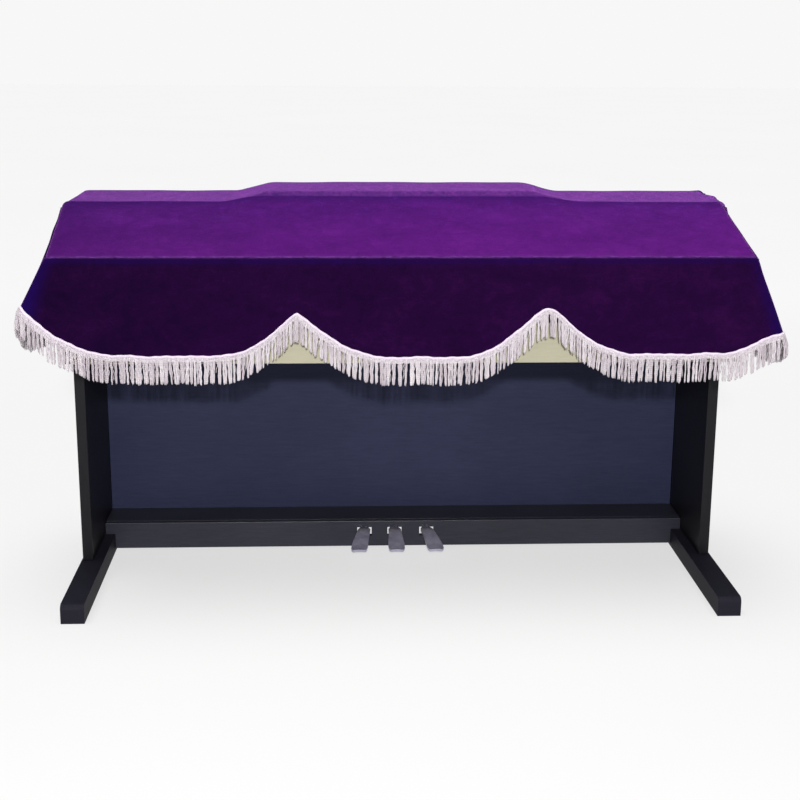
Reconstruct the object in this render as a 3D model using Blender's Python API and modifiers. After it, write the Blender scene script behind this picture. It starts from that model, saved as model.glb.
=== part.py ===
"""Velvet cover with a scalloped fringe, on a cabinet digital piano.

Metres, +Z up. The player sits at -Y, and +X is to the player's right.
The tables and sizes below are in the stand's own coordinates: Y runs back from
the front ends of the feet, and Z up from the floor. The empty "piano_origin"
moves them all, so that the origin is under the middle of the whole object.
"""

import math
from collections import namedtuple

import bmesh
import bpy
from mathutils import Matrix, Vector

# ---------------------------------------------------------------- sizes ----
ORIGIN = Vector((-0.0009, -0.2775, 0.0))  # from the stand's coordinates to the object's
GAP = 0.0003  # between pieces that meet

# cover
CLOTH = 0.002  # velvet and its backing
SEAM = 0.0013  # open seam between the long piece and an end piece
ROLL = 0.015  # how the cloth turns down over the ends of the piano
ROLL_END = math.radians(78)
ROLL_STEPS = 4
SMALLEST_ROUND = 0.0022  # of a crease, seen from outside
UNDER_HEADING = 0.010  # the cloth goes on this far behind the fringe's heading
DROP_ROWS = 5
COLUMN_SPACE = 0.042
BACK_HEM = 0.616
HEM_FORWARD = 0.016  # the front drop stands this far forward at its hem
HEM_BACKWARD = 0.012
HEM_RIPPLE = 0.0022

# the section of the cover over the piano, from the back to the front
BACK_EDGE = (0.4595, 0.8150)
TOP_CREASE = (0.2350, 0.8137)
FRONT_CREASE = (0.0300, 0.7310)
BACK_ROUND, TOP_ROUND, FRONT_ROUND = 0.010, 0.030, 0.006
TOP_ROWS = (0.400, 0.330, 0.2680, 0.2570)
SLOPE_ROWS = (0.130,)

# half widths of the cover, to the left and to the right
Width = namedtuple("Width", "place left right")
WIDTHS = {
    row.place: row
    for row in (
        Width("back_hem", 0.702, 0.702),
        Width("back_edge", 0.679, 0.6785),
        Width("top_crease", 0.685, 0.6625),
        Width("front_crease", 0.686, 0.684),
        Width("front_hem", 0.7365, 0.7425),
    )
}

# how the folded music rest lifts the cloth: the height, and where each ramp starts and ends
Lift = namedtuple("Lift", "y height left_foot left_top right_top right_foot")
LIFTS = (
    Lift(0.0300, 0.0000, -0.360, -0.310, 0.290, 0.375),
    Lift(0.2350, 0.0098, -0.360, -0.310, 0.290, 0.375),
    Lift(0.2625, 0.0182, -0.345, -0.275, 0.259, 0.345),
    Lift(0.4600, 0.0182, -0.345, -0.275, 0.259, 0.345),
)

# the front hem: level of the low stretches, and the cusps where the scallops meet
Level = namedtuple("Level", "x z")
HEM_LEVELS = (Level(-0.500, 0.5444), Level(0.020, 0.5384), Level(0.500, 0.5452))
Cusp = namedtuple("Cusp", "x rise left right blunt")
CUSPS = (
    Cusp(-0.7457, 0.1090, 0.2000, 0.1904, 0.0005),
    Cusp(-0.2118, 0.0925, 0.1585, 0.1910, 0.0061),
    Cusp(0.2760, 0.1183, 0.1749, 0.1778, 0.0198),
    Cusp(0.7475, 0.3330, 0.1611, 0.1211, 0.1036),
)
CUSP_COLUMNS = (-0.034, -0.014, 0.0, 0.014, 0.034)

# the hem of each end piece, one scallop from the front corner to the back corner
EndHem = namedtuple("EndHem", "side level front_reach back_reach bulge")
END_HEMS = {
    row.side: row
    for row in (
        EndHem(-1, 0.562, 0.260, 0.160, 0.030),
        EndHem(1, 0.545, 0.240, 0.160, 0.026),
    )
}

# fringe
HEADING = 0.013
TASSEL_DROP = 0.057  # from the top of the heading to the tips
FRINGE_THICK = 0.002
FRINGE_OUT = 0.0032  # outer face of the fringe, from the outer face of the cloth
CORNER_OUT = 0.0030  # further out than that where it turns a corner
TOOTH, SPACE = 0.0120, 0.0070
DROP_UNEVEN = 0.0012

# piano
CASE_LEFT, CASE_RIGHT, CASE_ROUND = 0.658, 0.6485, 0.003
CASE_PROFILE = (  # (y, z) of its end, round from the front bottom corner
    (0.0355, 0.6003),
    (0.4470, 0.6003),
    (0.4470, 0.8098),
    (0.2355, 0.8085),
    (0.0355, 0.7278),
)
Block = namedtuple("Block", "name x0 x1 y0 y1 z0 z1 round material")
BLOCKS = (
    Block("key_bed", -0.6593, 0.6593, 0.0500, 0.5315, 0.5183, 0.6000, 0.0015, "pale_board"),
    Block("music_rest", -0.268, 0.256, 0.2675, 0.4460, 0.8103, 0.8280, 0.0025, "dark_cabinet"),
    Block("side_left", -0.6816, -0.6596, 0.2530, 0.5530, 0.0403, 0.6000, 0.0015, "dark_cabinet"),
    Block("side_right", 0.6596, 0.6816, 0.2530, 0.5530, 0.0403, 0.6000, 0.0015, "dark_cabinet"),
    Block("back_panel", -0.6593, 0.6593, 0.5318, 0.5438, 0.0405, 0.6000, 0.0010, "navy_panel"),
    Block("rail_top", -0.6592, 0.6592, 0.4381, 0.5315, 0.0540, 0.0660, 0.0010, "dark_cabinet"),
)
FOOT_OUTER, FOOT_WIDTH, FOOT_LENGTH, FOOT_HEIGHT, FOOT_ROUND = 0.685, 0.0475, 0.555, 0.040, 0.012
RAIL_Y0, RAIL_Y1, RAIL_Z0, RAIL_Z1 = 0.4228, 0.4378, 0.006, 0.066
RAIL_HALF_LOW, RAIL_HALF_HIGH, RAIL_STEP = 0.6372, 0.6592, 0.0403

# pedals
PIVOT = Vector((0.0, 0.470, 0.0395))
ROD_R, BORE_R, HUB_R, HUB_W = 0.004, 0.0044, 0.008, 0.016
ROD_HALF, HANGER_W, HANGER_BORE = 0.120, 0.008, 0.0044
PLATE = 0.006
SLOT_SIDE, SLOT_Z0, SLOT_Z1 = 0.002, 0.0300, 0.0510
Pedal = namedtuple("Pedal", "name root_x tip_x")
PEDALS = (
    Pedal("pedal_left", -0.0710, -0.0850),
    Pedal("pedal_middle", -0.0020, -0.0005),
    Pedal("pedal_right", 0.0710, 0.0875),
)
Station = namedtuple("Station", "y half_width z lean")  # z of the plate's upper face
PEDAL_STATIONS = (
    Station(0.4760, 0.0075, 0.0430, 0.00),
    Station(0.4450, 0.0095, 0.0445, 0.00),
    Station(0.4228, 0.0145, 0.0470, 0.05),
    Station(0.4000, 0.0150, 0.0465, 0.25),
    Station(0.3750, 0.0165, 0.0420, 0.55),
    Station(0.3500, 0.0185, 0.0350, 0.85),
    Station(0.3360, 0.0180, 0.0320, 0.97),
    Station(0.3290, 0.0140, 0.0310, 1.00),
)

# ------------------------------------------------------------- materials ----
Finish = namedtuple("Finish", "name colour roughness metallic")
FINISHES = {
    row.name: row
    for row in (
        Finish("violet_velvet", (0.055, 0.006, 0.105), 0.85, 0.0),
        Finish("violet_velvet_end", (0.045, 0.005, 0.090), 0.85, 0.0),
        Finish("pale_fringe", (0.80, 0.70, 0.76), 0.80, 0.0),
        Finish("dark_cabinet", (0.020, 0.021, 0.026), 0.45, 0.0),
        Finish("navy_panel", (0.030, 0.034, 0.060), 0.50, 0.0),
        Finish("pale_board", (0.50, 0.46, 0.28), 0.60, 0.0),
        Finish("pedal_metal", (0.42, 0.40, 0.38), 0.30, 1.0),
    )
}

# ---------------------------------------------------------------- helpers ----
for old in list(bpy.data.objects):
    bpy.data.objects.remove(old, do_unlink=True)

parts = bpy.data.collections.new("piano_cover")
cutters = bpy.data.collections.new("cutters")
bpy.context.scene.collection.children.link(parts)
bpy.context.scene.collection.children.link(cutters)

origin = bpy.data.objects.new("piano_origin", None)
origin.location = ORIGIN
parts.objects.link(origin)


def finish(obj, name):
    """Gives the object a material of its own."""
    row = FINISHES[name]
    material = bpy.data.materials.new(obj.name + "_" + row.name)
    material.use_nodes = True
    shader = material.node_tree.nodes["Principled BSDF"]
    shader.inputs["Base Color"].default_value = (*row.colour, 1.0)
    shader.inputs["Roughness"].default_value = row.roughness
    shader.inputs["Metallic"].default_value = row.metallic
    obj.data.materials.clear()
    obj.data.materials.append(material)


def place(obj, parent=origin, collection=parts):
    for held in list(obj.users_collection):
        held.objects.unlink(obj)
    collection.objects.link(obj)
    obj.parent = parent
    if collection is cutters:
        obj.hide_render = True
        obj.display_type = "WIRE"
    return obj


def bevel(obj, width, segments=2):
    modifier = obj.modifiers.new("edges", "BEVEL")
    modifier.width = width
    modifier.segments = segments
    modifier.limit_method = "ANGLE"
    modifier.angle_limit = math.radians(30)


def block(name, x0, x1, y0, y1, z0, z1, parent=origin, collection=parts):
    bpy.ops.mesh.primitive_cube_add(size=1.0)
    obj = bpy.context.object
    obj.name = name
    obj.data.transform(Matrix.Diagonal((x1 - x0, y1 - y0, z1 - z0, 1.0)))
    obj.location = ((x0 + x1) / 2, (y0 + y1) / 2, (z0 + z1) / 2)
    return place(obj, parent, collection)


def tube(name, radius, length, centre, vertices=32, parent=origin, collection=parts):
    """A cylinder along X."""
    bpy.ops.mesh.primitive_cylinder_add(vertices=vertices, radius=radius, depth=length)
    obj = bpy.context.object
    obj.name = name
    obj.data.transform(Matrix.Rotation(math.pi / 2, 4, "Y"))
    obj.location = centre
    return place(obj, parent, collection)


def cut_or_join(obj, other, operation):
    modifier = obj.modifiers.new(operation.lower() + "_" + other.name, "BOOLEAN")
    modifier.operation = operation
    modifier.solver = "EXACT"
    modifier.object = other


def end_outline(name, profile, x0, x1):
    """A flat outline in (y, z), made solid from x0 to x1."""
    curve = bpy.data.curves.new(name, "CURVE")
    curve.dimensions = "2D"
    curve.fill_mode = "BOTH"
    curve.extrude = (x1 - x0) / 2
    spline = curve.splines.new("POLY")
    spline.points.add(len(profile) - 1)
    for point, (y, z) in zip(spline.points, profile):
        point.co = (y, z, 0.0, 1.0)
    spline.use_cyclic_u = True
    drawn = bpy.data.objects.new(name + "_outline", curve)
    # the outline's x, y and depth lie along the world's y, z and x
    drawn.matrix_world = Matrix(
        ((0, 0, 1, (x0 + x1) / 2), (1, 0, 0, 0), (0, 1, 0, 0), (0, 0, 0, 1))
    )
    parts.objects.link(drawn)
    bpy.context.view_layer.update()
    graph = bpy.context.evaluated_depsgraph_get()
    mesh = bpy.data.meshes.new_from_object(drawn.evaluated_get(graph))
    mesh.name = name
    mesh.transform(drawn.matrix_world)
    work = bmesh.new()
    work.from_mesh(mesh)
    bmesh.ops.remove_doubles(work, verts=work.verts, dist=1e-6)
    bmesh.ops.recalc_face_normals(work, faces=work.faces)
    work.to_mesh(mesh)
    work.free()
    bpy.data.objects.remove(drawn, do_unlink=True)
    return place(bpy.data.objects.new(name, mesh))


def grid_sheet(name, across, down, point_at, thickness, keep=None, parent=origin):
    """A grid of across x down points, each moved to point_at(i, j), with its front
    face outwards, made solid inwards. keep(i, j) says which of its faces stay."""
    work = bmesh.new()
    bmesh.ops.create_grid(work, x_segments=across - 1, y_segments=down - 1, size=1.0)
    work.verts.ensure_lookup_table()
    place_of = {}
    for vert in work.verts:
        i = round((vert.co.x + 1) / 2 * (across - 1))
        j = round((vert.co.y + 1) / 2 * (down - 1))
        place_of[vert] = (i, j)
    if keep:
        gone = []
        for face in work.faces:
            i = min(place_of[v][0] for v in face.verts)
            j = min(place_of[v][1] for v in face.verts)
            if not keep(i, j):
                gone.append(face)
        bmesh.ops.delete(work, geom=gone, context="FACES")
    for vert in work.verts:
        vert.co = Vector(point_at(*place_of[vert]))
    mesh = bpy.data.meshes.new(name)
    work.to_mesh(mesh)
    work.free()
    obj = place(bpy.data.objects.new(name, mesh), parent)
    solid = obj.modifiers.new("thickness", "SOLIDIFY")
    solid.thickness = thickness
    solid.offset = -1.0
    solid.use_even_offset = True
    return obj


def mix(a, b, t):
    return a + (b - a) * t


def ease(t):
    t = min(max(t, 0.0), 1.0)
    return t * t * (3 - 2 * t)


def between(rows, key, at, field):
    """The field of a table's rows at a value of their key, on straight lines."""
    for low, high in zip(rows, rows[1:]):
        if at <= getattr(high, key):
            break
    span = getattr(high, key) - getattr(low, key)
    t = min(max((at - getattr(low, key)) / span, 0.0), 1.0)
    return mix(getattr(low, field), getattr(high, field), t)


# ------------------------------------------------------------------ cover ----
def hem_height(x):
    """Top of the fringe's heading along the front."""
    z = between(HEM_LEVELS, "x", x, "z")
    for cusp in CUSPS:
        reach = cusp.left if x < cusp.x else cusp.right
        far = math.hypot(x - cusp.x, cusp.blunt)
        z += cusp.rise * max(0.0, 1 - far / reach) ** 2
    return z


def lift(x, y):
    """How far the folded music rest raises the cloth."""
    height, lf, lt, rt, rf = (between(LIFTS, "y", y, f) for f in Lift._fields[1:])
    left = min(max((x - lf) / (lt - lf), 0.0), 1.0)
    right = ease((rf - x) / (rf - rt))
    return height * min(left, right)


def top_height(x, y):
    if y >= TOP_CREASE[0]:
        t = (y - TOP_CREASE[0]) / (BACK_EDGE[0] - TOP_CREASE[0])
        flat = mix(TOP_CREASE[1], BACK_EDGE[1], t)
    else:
        t = (y - FRONT_CREASE[0]) / (TOP_CREASE[0] - FRONT_CREASE[0])
        flat = mix(FRONT_CREASE[1], TOP_CREASE[1], t)
    return flat + lift(x, y)


def ripple(x, t):
    """Shallow waves of the front drop, none at the crease."""
    wave = math.sin(9.0 * x + 0.6) + 0.6 * math.sin(21.0 * x + 2.0)
    return HEM_RIPPLE * wave * t * t


Row = namedtuple("Row", "y z round steps place share")


def section_rows(x, hem_x):
    """Corner and row points of the cover's outer face at x, from the back hem to the
    front hem. share is how far the row is from one width in WIDTHS to the next."""
    rows = []
    back_z = BACK_HEM - UNDER_HEADING
    for k in range(DROP_ROWS):
        t = k / DROP_ROWS
        rows.append(
            Row(
                BACK_EDGE[0] + HEM_BACKWARD * (1 - t) ** 1.3,
                mix(back_z, BACK_EDGE[1], t),
                0, 0, "back_hem", t,
            )
        )
    rows.append(Row(BACK_EDGE[0], top_height(x, BACK_EDGE[0]), BACK_ROUND, 2, "back_edge", 0))
    for y in TOP_ROWS:
        rows.append(Row(y, top_height(x, y), 0, 0, "back_edge", 0.5))
    rows.append(Row(TOP_CREASE[0], top_height(x, TOP_CREASE[0]), TOP_ROUND, 1, "top_crease", 0))
    for y in SLOPE_ROWS:
        t = (TOP_CREASE[0] - y) / (TOP_CREASE[0] - FRONT_CREASE[0])
        rows.append(Row(y, top_height(x, y), 0, 0, "top_crease", t))
    rows.append(Row(*FRONT_CREASE, FRONT_ROUND, 2, "front_crease", 0))
    front_z = hem_height(hem_x) - UNDER_HEADING
    for k in range(1, DROP_ROWS + 1):
        t = k / DROP_ROWS
        rows.append(
            Row(
                FRONT_CREASE[0] - HEM_FORWARD * t**1.2 + ripple(hem_x, t),
                mix(FRONT_CREASE[1], front_z, t),
                0, 0, "front_crease", t,
            )
        )
    return rows


def inset_and_round(rows, inset):
    """The rows moved inwards by inset, with each corner's round made small to suit,
    as (y, z, place, share)."""
    flat = [Vector((r.y, r.z)) for r in rows]
    steps = [(b - a).normalized() for a, b in zip(flat, flat[1:])]
    inward = [Vector((-s.y, s.x)) for s in steps]
    moved = []
    for k, point in enumerate(flat):
        a = inward[max(k - 1, 0)]
        b = inward[min(k, len(inward) - 1)]
        half = (a + b).normalized()
        moved.append(point + half * (inset / max(half.dot(a), 0.5)))
    out = []
    for k, (row, point) in enumerate(zip(rows, moved)):
        if not row.steps:
            out.append((point.x, point.y, row.place, row.share))
            continue
        before = (moved[k - 1] - point).normalized()
        after = (moved[k + 1] - point).normalized()
        half_angle = before.angle(after) / 2
        radius = max(row.round - inset, SMALLEST_ROUND)
        reach = radius / math.tan(half_angle)
        middle = point + (before + after).normalized() * (radius / math.sin(half_angle))
        start, end = point + before * reach - middle, point + after * reach - middle
        turn = start.angle_signed(end)
        for i in range(row.steps + 1):
            spin = -turn * i / row.steps
            c, s = math.cos(spin), math.sin(spin)
            out.append(
                (
                    middle.x + c * start.x - s * start.y,
                    middle.y + s * start.x + c * start.y,
                    row.place,
                    row.share,
                )
            )
    return out


PLACES = [row for row in WIDTHS]


def half_width(side, place, share):
    following = PLACES[min(PLACES.index(place) + 1, len(PLACES) - 1)]
    field = "left" if side < 0 else "right"
    return mix(getattr(WIDTHS[place], field), getattr(WIDTHS[following], field), share)


def cover_column(k, roll):
    """Outer face of the long piece down one column. k runs from -1 to 1 across the
    flat width, and roll is the angle turned over the end."""
    side = -1 if k < 0 else 1
    inset = ROLL * (1 - math.cos(roll))
    out_by = ROLL * math.sin(roll)
    top_x = k * (half_width(side, "top_crease", 0) - ROLL) + side * out_by
    hem_x = k * (half_width(side, "front_hem", 0) - ROLL) + side * out_by
    points = []
    for y, z, place, share in inset_and_round(section_rows(top_x, hem_x), inset):
        x = k * (half_width(side, place, share) - ROLL) + side * out_by
        points.append(Vector((x, y, z)))
    return points


def column_places():
    """(k, roll) of each column: the ramps, the cusps and an even fill, with the rolls."""
    wanted = {-1.0, 1.0}
    for field in ("left_foot", "left_top", "right_top", "right_foot"):
        x = getattr(LIFTS[2], field)
        wanted.add(x / (half_width(-1 if x < 0 else 1, "top_crease", 0) - ROLL))
    for cusp in CUSPS[1:-1]:
        side = -1 if cusp.x < 0 else 1
        for off in CUSP_COLUMNS:
            wanted.add((cusp.x + off) / (half_width(side, "front_hem", 0) - ROLL))
    spaced = []
    for k in sorted(wanted):
        if not spaced or k - spaced[-1] > 0.011:
            spaced.append(k)
    ks = [spaced[0]]
    for k in spaced[1:]:
        count = math.ceil((k - ks[-1]) * (half_width(-1, "top_crease", 0) - ROLL) / COLUMN_SPACE)
        ks += [mix(ks[-1], k, (i + 1) / count) for i in range(count)]
    rolls = [ROLL_END * (i + 1) / ROLL_STEPS for i in range(ROLL_STEPS)]
    return (
        [(-1.0, roll) for roll in reversed(rolls)]
        + [(k, 0.0) for k in ks]
        + [(1.0, roll) for roll in rolls]
    )


columns = [cover_column(k, roll) for k, roll in column_places()]
# rows run from the front hem (0) to the back hem, so that the faces look outwards
cover_main = grid_sheet(
    "cover_main",
    len(columns),
    len(columns[0]),
    lambda i, j: columns[i][-1 - j],
    CLOTH,
)
finish(cover_main, "violet_velvet")


def end_hem_point(side, front, back, t):
    """Bottom edge of an end piece's cloth, t from its back corner to its front corner."""
    row = END_HEMS[side]
    y = mix(back.y, front.y, t)
    to_front, to_back = y - front.y, back.y - y
    z = row.level - UNDER_HEADING
    z += (front.z - z) * max(0.0, 1 - to_front / row.front_reach) ** 2
    level = row.level - UNDER_HEADING
    z += (back.z - level) * max(0.0, 1 - to_back / row.back_reach) ** 2
    x = mix(back.x, front.x, t) + side * row.bulge * math.sin(math.pi * t) ** 0.8
    return Vector((x, y, z))


def run_lengths(points):
    total, out = 0.0, [0.0]
    for a, b in zip(points, points[1:]):
        total += (b - a).length
        out.append(total)
    return [v / total for v in out]


def end_piece_grid(side):
    """Points of an end piece: a patch inside the end of the long piece and its own hem.
    grid[i][j]: i from the back to the front, j from the top to the hem."""
    edge = cover_column(float(side), ROLL_END + SEAM / ROLL)
    first = DROP_ROWS + 1  # middle of the back edge's round
    last = len(edge) - 1 - DROP_ROWS - 1  # middle of the front crease's round
    back = edge[first::-1]
    front = edge[last:]
    top = edge[first : last + 1]
    us = run_lengths(top)
    vs = [(a + b) / 2 for a, b in zip(run_lengths(back), run_lengths(front))]
    hem = [end_hem_point(side, front[-1], back[-1], u) for u in us]
    grid = []
    for i, u in enumerate(us):
        line = []
        for j, v in enumerate(vs):
            point = (
                top[i] * (1 - v)
                + hem[i] * v
                + back[j] * (1 - u)
                + front[j] * u
                - top[0] * ((1 - u) * (1 - v))
                - top[-1] * (u * (1 - v))
                - hem[0] * ((1 - u) * v)
                - hem[-1] * (u * v)
            )
            line.append(point)
        grid.append(line)
    return grid


end_grids = {side: end_piece_grid(side) for side in (-1, 1)}
for side, name in ((-1, "cover_end_left"), (1, "cover_end_right")):
    grid = end_grids[side]
    across, down = len(grid), len(grid[0])
    obj = grid_sheet(
        name,
        across,
        down,
        lambda i, j, g=grid[:: -side]: g[i][-1 - j],
        CLOTH,
    )
    finish(obj, "violet_velvet_end")


# ----------------------------------------------------------------- fringe ----
def below_hem(point, above, down):
    """The point this far down the cloth's last stretch from its edge (down below 0 is up)."""
    way = (point - above).normalized()
    return point + way * down


def hem_path():
    """(edge point, way down the cloth) along the two ends and the front, from the back
    left corner to the back right corner."""
    path = []
    left, right = end_grids[-1], end_grids[1]
    fine = 6
    for grid, order in ((left, 1), (None, 0), (right, -1)):
        if grid is None:
            spots = []
            for roll in range(9):
                spots.append((-1.0, ROLL_END * (1 - roll / 9)))
            count = 300
            spots += [(-1 + 2 * i / count, 0.0) for i in range(count + 1)]
            for roll in range(1, 10):
                spots.append((1.0, ROLL_END * roll / 9))
            for k, roll in spots:
                column = cover_column(k, roll)
                path.append((column[-1], (column[-1] - column[-2]).normalized()))
            continue
        lines = grid if order > 0 else grid[::-1]
        for a, b in zip(lines, lines[1:]):
            for i in range(fine):
                t = i / fine
                low = a[-1].lerp(b[-1], t)
                high = a[-2].lerp(b[-2], t)
                path.append((low, (low - high).normalized()))
        last = lines[-1]
        if order < 0:
            path.append((last[-1], (last[-1] - last[-2]).normalized()))
    return path


def fringe_stations():
    """(heading top, heading bottom, outward) at each side of each tooth."""
    path = hem_path()
    tops = [point - way * UNDER_HEADING for point, way in path]
    ways = [way for _, way in path]
    lengths = [0.0]
    for a, b in zip(tops, tops[1:]):
        lengths.append(lengths[-1] + (b - a).length)
    total = lengths[-1]
    teeth = round((total + SPACE) / (TOOTH + SPACE))
    scale = total / (teeth * (TOOTH + SPACE) - SPACE)
    marks = [0.0]
    for n in range(teeth):
        marks.append(marks[-1] + TOOTH * scale)
        if n < teeth - 1:
            marks.append(marks[-1] + SPACE * scale)
    marks[-1] = total
    stations, at = [], 0
    for mark in marks:
        while at < len(lengths) - 2 and lengths[at + 1] < mark:
            at += 1
        t = (mark - lengths[at]) / max(lengths[at + 1] - lengths[at], 1e-9)
        top = tops[at].lerp(tops[at + 1], t)
        way = ways[at].lerp(ways[at + 1], t).normalized()
        a, b = max(at - 2, 0), min(at + 3, len(tops) - 1)
        along = tops[b] - tops[a]
        outward = Vector((along.y, -along.x, 0.0)).normalized()
        steep = abs(along.z) / max(Vector((along.x, along.y)).length, 1e-6)
        back = tops[at] - tops[max(at - 5, 0)]
        ahead = tops[min(at + 6, len(tops) - 1)] - tops[at + 1]
        turn = 0.0
        if back.length > 1e-6 and ahead.length > 1e-6:
            turn = back.xy.angle(ahead.xy)
        out = FRINGE_OUT + CORNER_OUT * min(turn / math.radians(60), 1.0)
        stations.append((top, way, outward * out, min(math.hypot(1, steep), 1.4)))
    return stations


stations = fringe_stations()


def fringe_point(i, j):
    top, way, outward, slant = stations[i]
    if j == 2:  # heading top
        return top + outward
    bottom = top + way * (HEADING * slant) + outward
    if j == 1:
        return bottom
    uneven = DROP_UNEVEN * (math.sin(2.3 * (i // 2)) + math.sin(0.71 * (i // 2) + 1.0))
    return Vector((bottom.x, bottom.y, top.z - TASSEL_DROP + uneven))


cover_fringe = grid_sheet(
    "cover_fringe",
    len(stations),
    3,
    fringe_point,
    FRINGE_THICK,
    keep=lambda i, j: j == 1 or i % 2 == 0,
)
finish(cover_fringe, "pale_fringe")

# ------------------------------------------------------------------ piano ----
case = end_outline("case", CASE_PROFILE, -CASE_LEFT, CASE_RIGHT)
bevel(case, CASE_ROUND)
finish(case, "dark_cabinet")

for row in BLOCKS:
    obj = block(row.name, row.x0, row.x1, row.y0, row.y1, row.z0, row.z1)
    bevel(obj, row.round)
    finish(obj, row.material)


def foot_profile():
    """Side of a foot, with its front top edge rounded."""
    corner = [
        (
            FOOT_ROUND - FOOT_ROUND * math.cos(a),
            FOOT_HEIGHT - FOOT_ROUND + FOOT_ROUND * math.sin(a),
        )
        for a in (math.radians(90 * k / 6) for k in range(7))
    ]
    return [(0.0, 0.0), (FOOT_LENGTH, 0.0), (FOOT_LENGTH, FOOT_HEIGHT)] + corner[::-1]


for side, name in ((-1, "foot_left"), (1, "foot_right")):
    x0, x1 = sorted((side * (FOOT_OUTER - FOOT_WIDTH), side * FOOT_OUTER))
    obj = end_outline(name, foot_profile(), x0, x1)
    bevel(obj, 0.0012, 1)
    finish(obj, "dark_cabinet")

# the front board of the pedal rail: stepped ends, and a slot for each pedal
rail_front = block(
    "rail_front", -RAIL_HALF_HIGH, RAIL_HALF_HIGH, RAIL_Y0, RAIL_Y1, RAIL_Z0, RAIL_Z1
)
bevel(rail_front, 0.0012)
for side in (-1, 1):
    x0, x1 = sorted((side * RAIL_HALF_LOW, side * (RAIL_HALF_HIGH + 0.02)))
    step = block(
        "cut_rail_step", x0, x1, RAIL_Y0 - 0.02, RAIL_Y1 + 0.02, RAIL_Z0 - 0.02, RAIL_STEP,
        collection=cutters,
    )
    cut_or_join(rail_front, step, "DIFFERENCE")
for row in PEDALS:
    half = PEDAL_STATIONS[2].half_width + SLOT_SIDE
    slot = block(
        "cut_slot", row.root_x - half, row.root_x + half, RAIL_Y0 - 0.02, RAIL_Y1 + 0.02,
        SLOT_Z0, SLOT_Z1, collection=cutters,
    )
    cut_or_join(rail_front, slot, "DIFFERENCE")
finish(rail_front, "dark_cabinet")

pedal_rod = tube("pedal_rod", ROD_R, 2 * ROD_HALF, PIVOT, 24)
finish(pedal_rod, "pedal_metal")
for side, name in ((-1, "hanger_left"), (1, "hanger_right")):
    middle = side * (ROD_HALF - 0.008)
    obj = block(
        name, middle - HANGER_W / 2, middle + HANGER_W / 2,
        PIVOT.y - 0.011, PIVOT.y + 0.011, 0.0280, 0.0540 - GAP,
    )
    bore = tube("cut_" + name, HANGER_BORE, 0.03, (middle, PIVOT.y, PIVOT.z), 24, collection=cutters)
    cut_or_join(obj, bore, "DIFFERENCE")
    finish(obj, "pedal_metal")


def pedal(row):
    """A pressed plate, wider at its toe, on a hub that turns on the rod."""
    axis = bpy.data.objects.new(row.name + "_axis", None)
    axis.location = (row.root_x, PIVOT.y, PIVOT.z)
    place(axis)

    def point_at(i, j):
        station = PEDAL_STATIONS[j]
        across = (i - 2) / 2
        middle = (row.tip_x - row.root_x) * station.lean
        crown = -0.0012 * across * across
        return (
            middle + across * station.half_width,
            station.y - PIVOT.y,
            station.z - PIVOT.z + crown,
        )

    last = len(PEDAL_STATIONS) - 1
    plate = grid_sheet(
        row.name, 5, len(PEDAL_STATIONS), lambda i, j: point_at(i, last - j), PLATE, parent=axis
    )
    hub = tube("join_" + row.name, HUB_R, HUB_W, (0, 0, 0), 32, axis, cutters)
    bore = tube("cut_" + row.name, BORE_R, 0.06, (0, 0, 0), 24, axis, cutters)
    cut_or_join(plate, hub, "UNION")
    cut_or_join(plate, bore, "DIFFERENCE")
    finish(plate, "pedal_metal")
    return plate


for row in PEDALS:
    pedal(row)

for obj in parts.objects:
    if obj.type == "MESH":
        obj.data.shade_smooth()
        obj.data.set_sharp_from_angle(angle=math.radians(35))
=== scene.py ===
import math
import random

import bpy
import numpy as np
from mathutils import Matrix, Vector


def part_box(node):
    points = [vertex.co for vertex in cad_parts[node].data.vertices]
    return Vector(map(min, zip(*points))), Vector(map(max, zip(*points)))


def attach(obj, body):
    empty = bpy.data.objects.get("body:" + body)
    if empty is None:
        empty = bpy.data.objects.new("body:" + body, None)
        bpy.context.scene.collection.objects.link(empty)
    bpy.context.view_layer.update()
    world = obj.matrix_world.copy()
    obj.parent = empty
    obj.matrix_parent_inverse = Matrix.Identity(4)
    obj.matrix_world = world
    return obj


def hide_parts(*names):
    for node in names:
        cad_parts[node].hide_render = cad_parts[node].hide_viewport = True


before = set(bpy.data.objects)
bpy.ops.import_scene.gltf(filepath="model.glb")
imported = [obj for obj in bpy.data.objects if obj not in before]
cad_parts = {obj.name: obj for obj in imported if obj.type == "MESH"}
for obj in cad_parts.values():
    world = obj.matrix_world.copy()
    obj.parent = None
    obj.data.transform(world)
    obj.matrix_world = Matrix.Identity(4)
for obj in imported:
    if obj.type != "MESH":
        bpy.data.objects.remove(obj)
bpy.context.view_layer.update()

random.seed(7)
rng = np.random.default_rng(7)

# ------------------------------------------------------------------ frame ----
# Sizes below are in the stand's own coordinates: Y back from the front ends of the
# feet, Z up from the floor. The CAD gives where that is in the shared frame.
foot_lo, foot_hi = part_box("foot_left")
foot2_lo, foot2_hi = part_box("foot_right")
SHIFT = np.array([(foot_lo.x + foot2_hi.x) / 2, foot_lo.y, 0.0])

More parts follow.
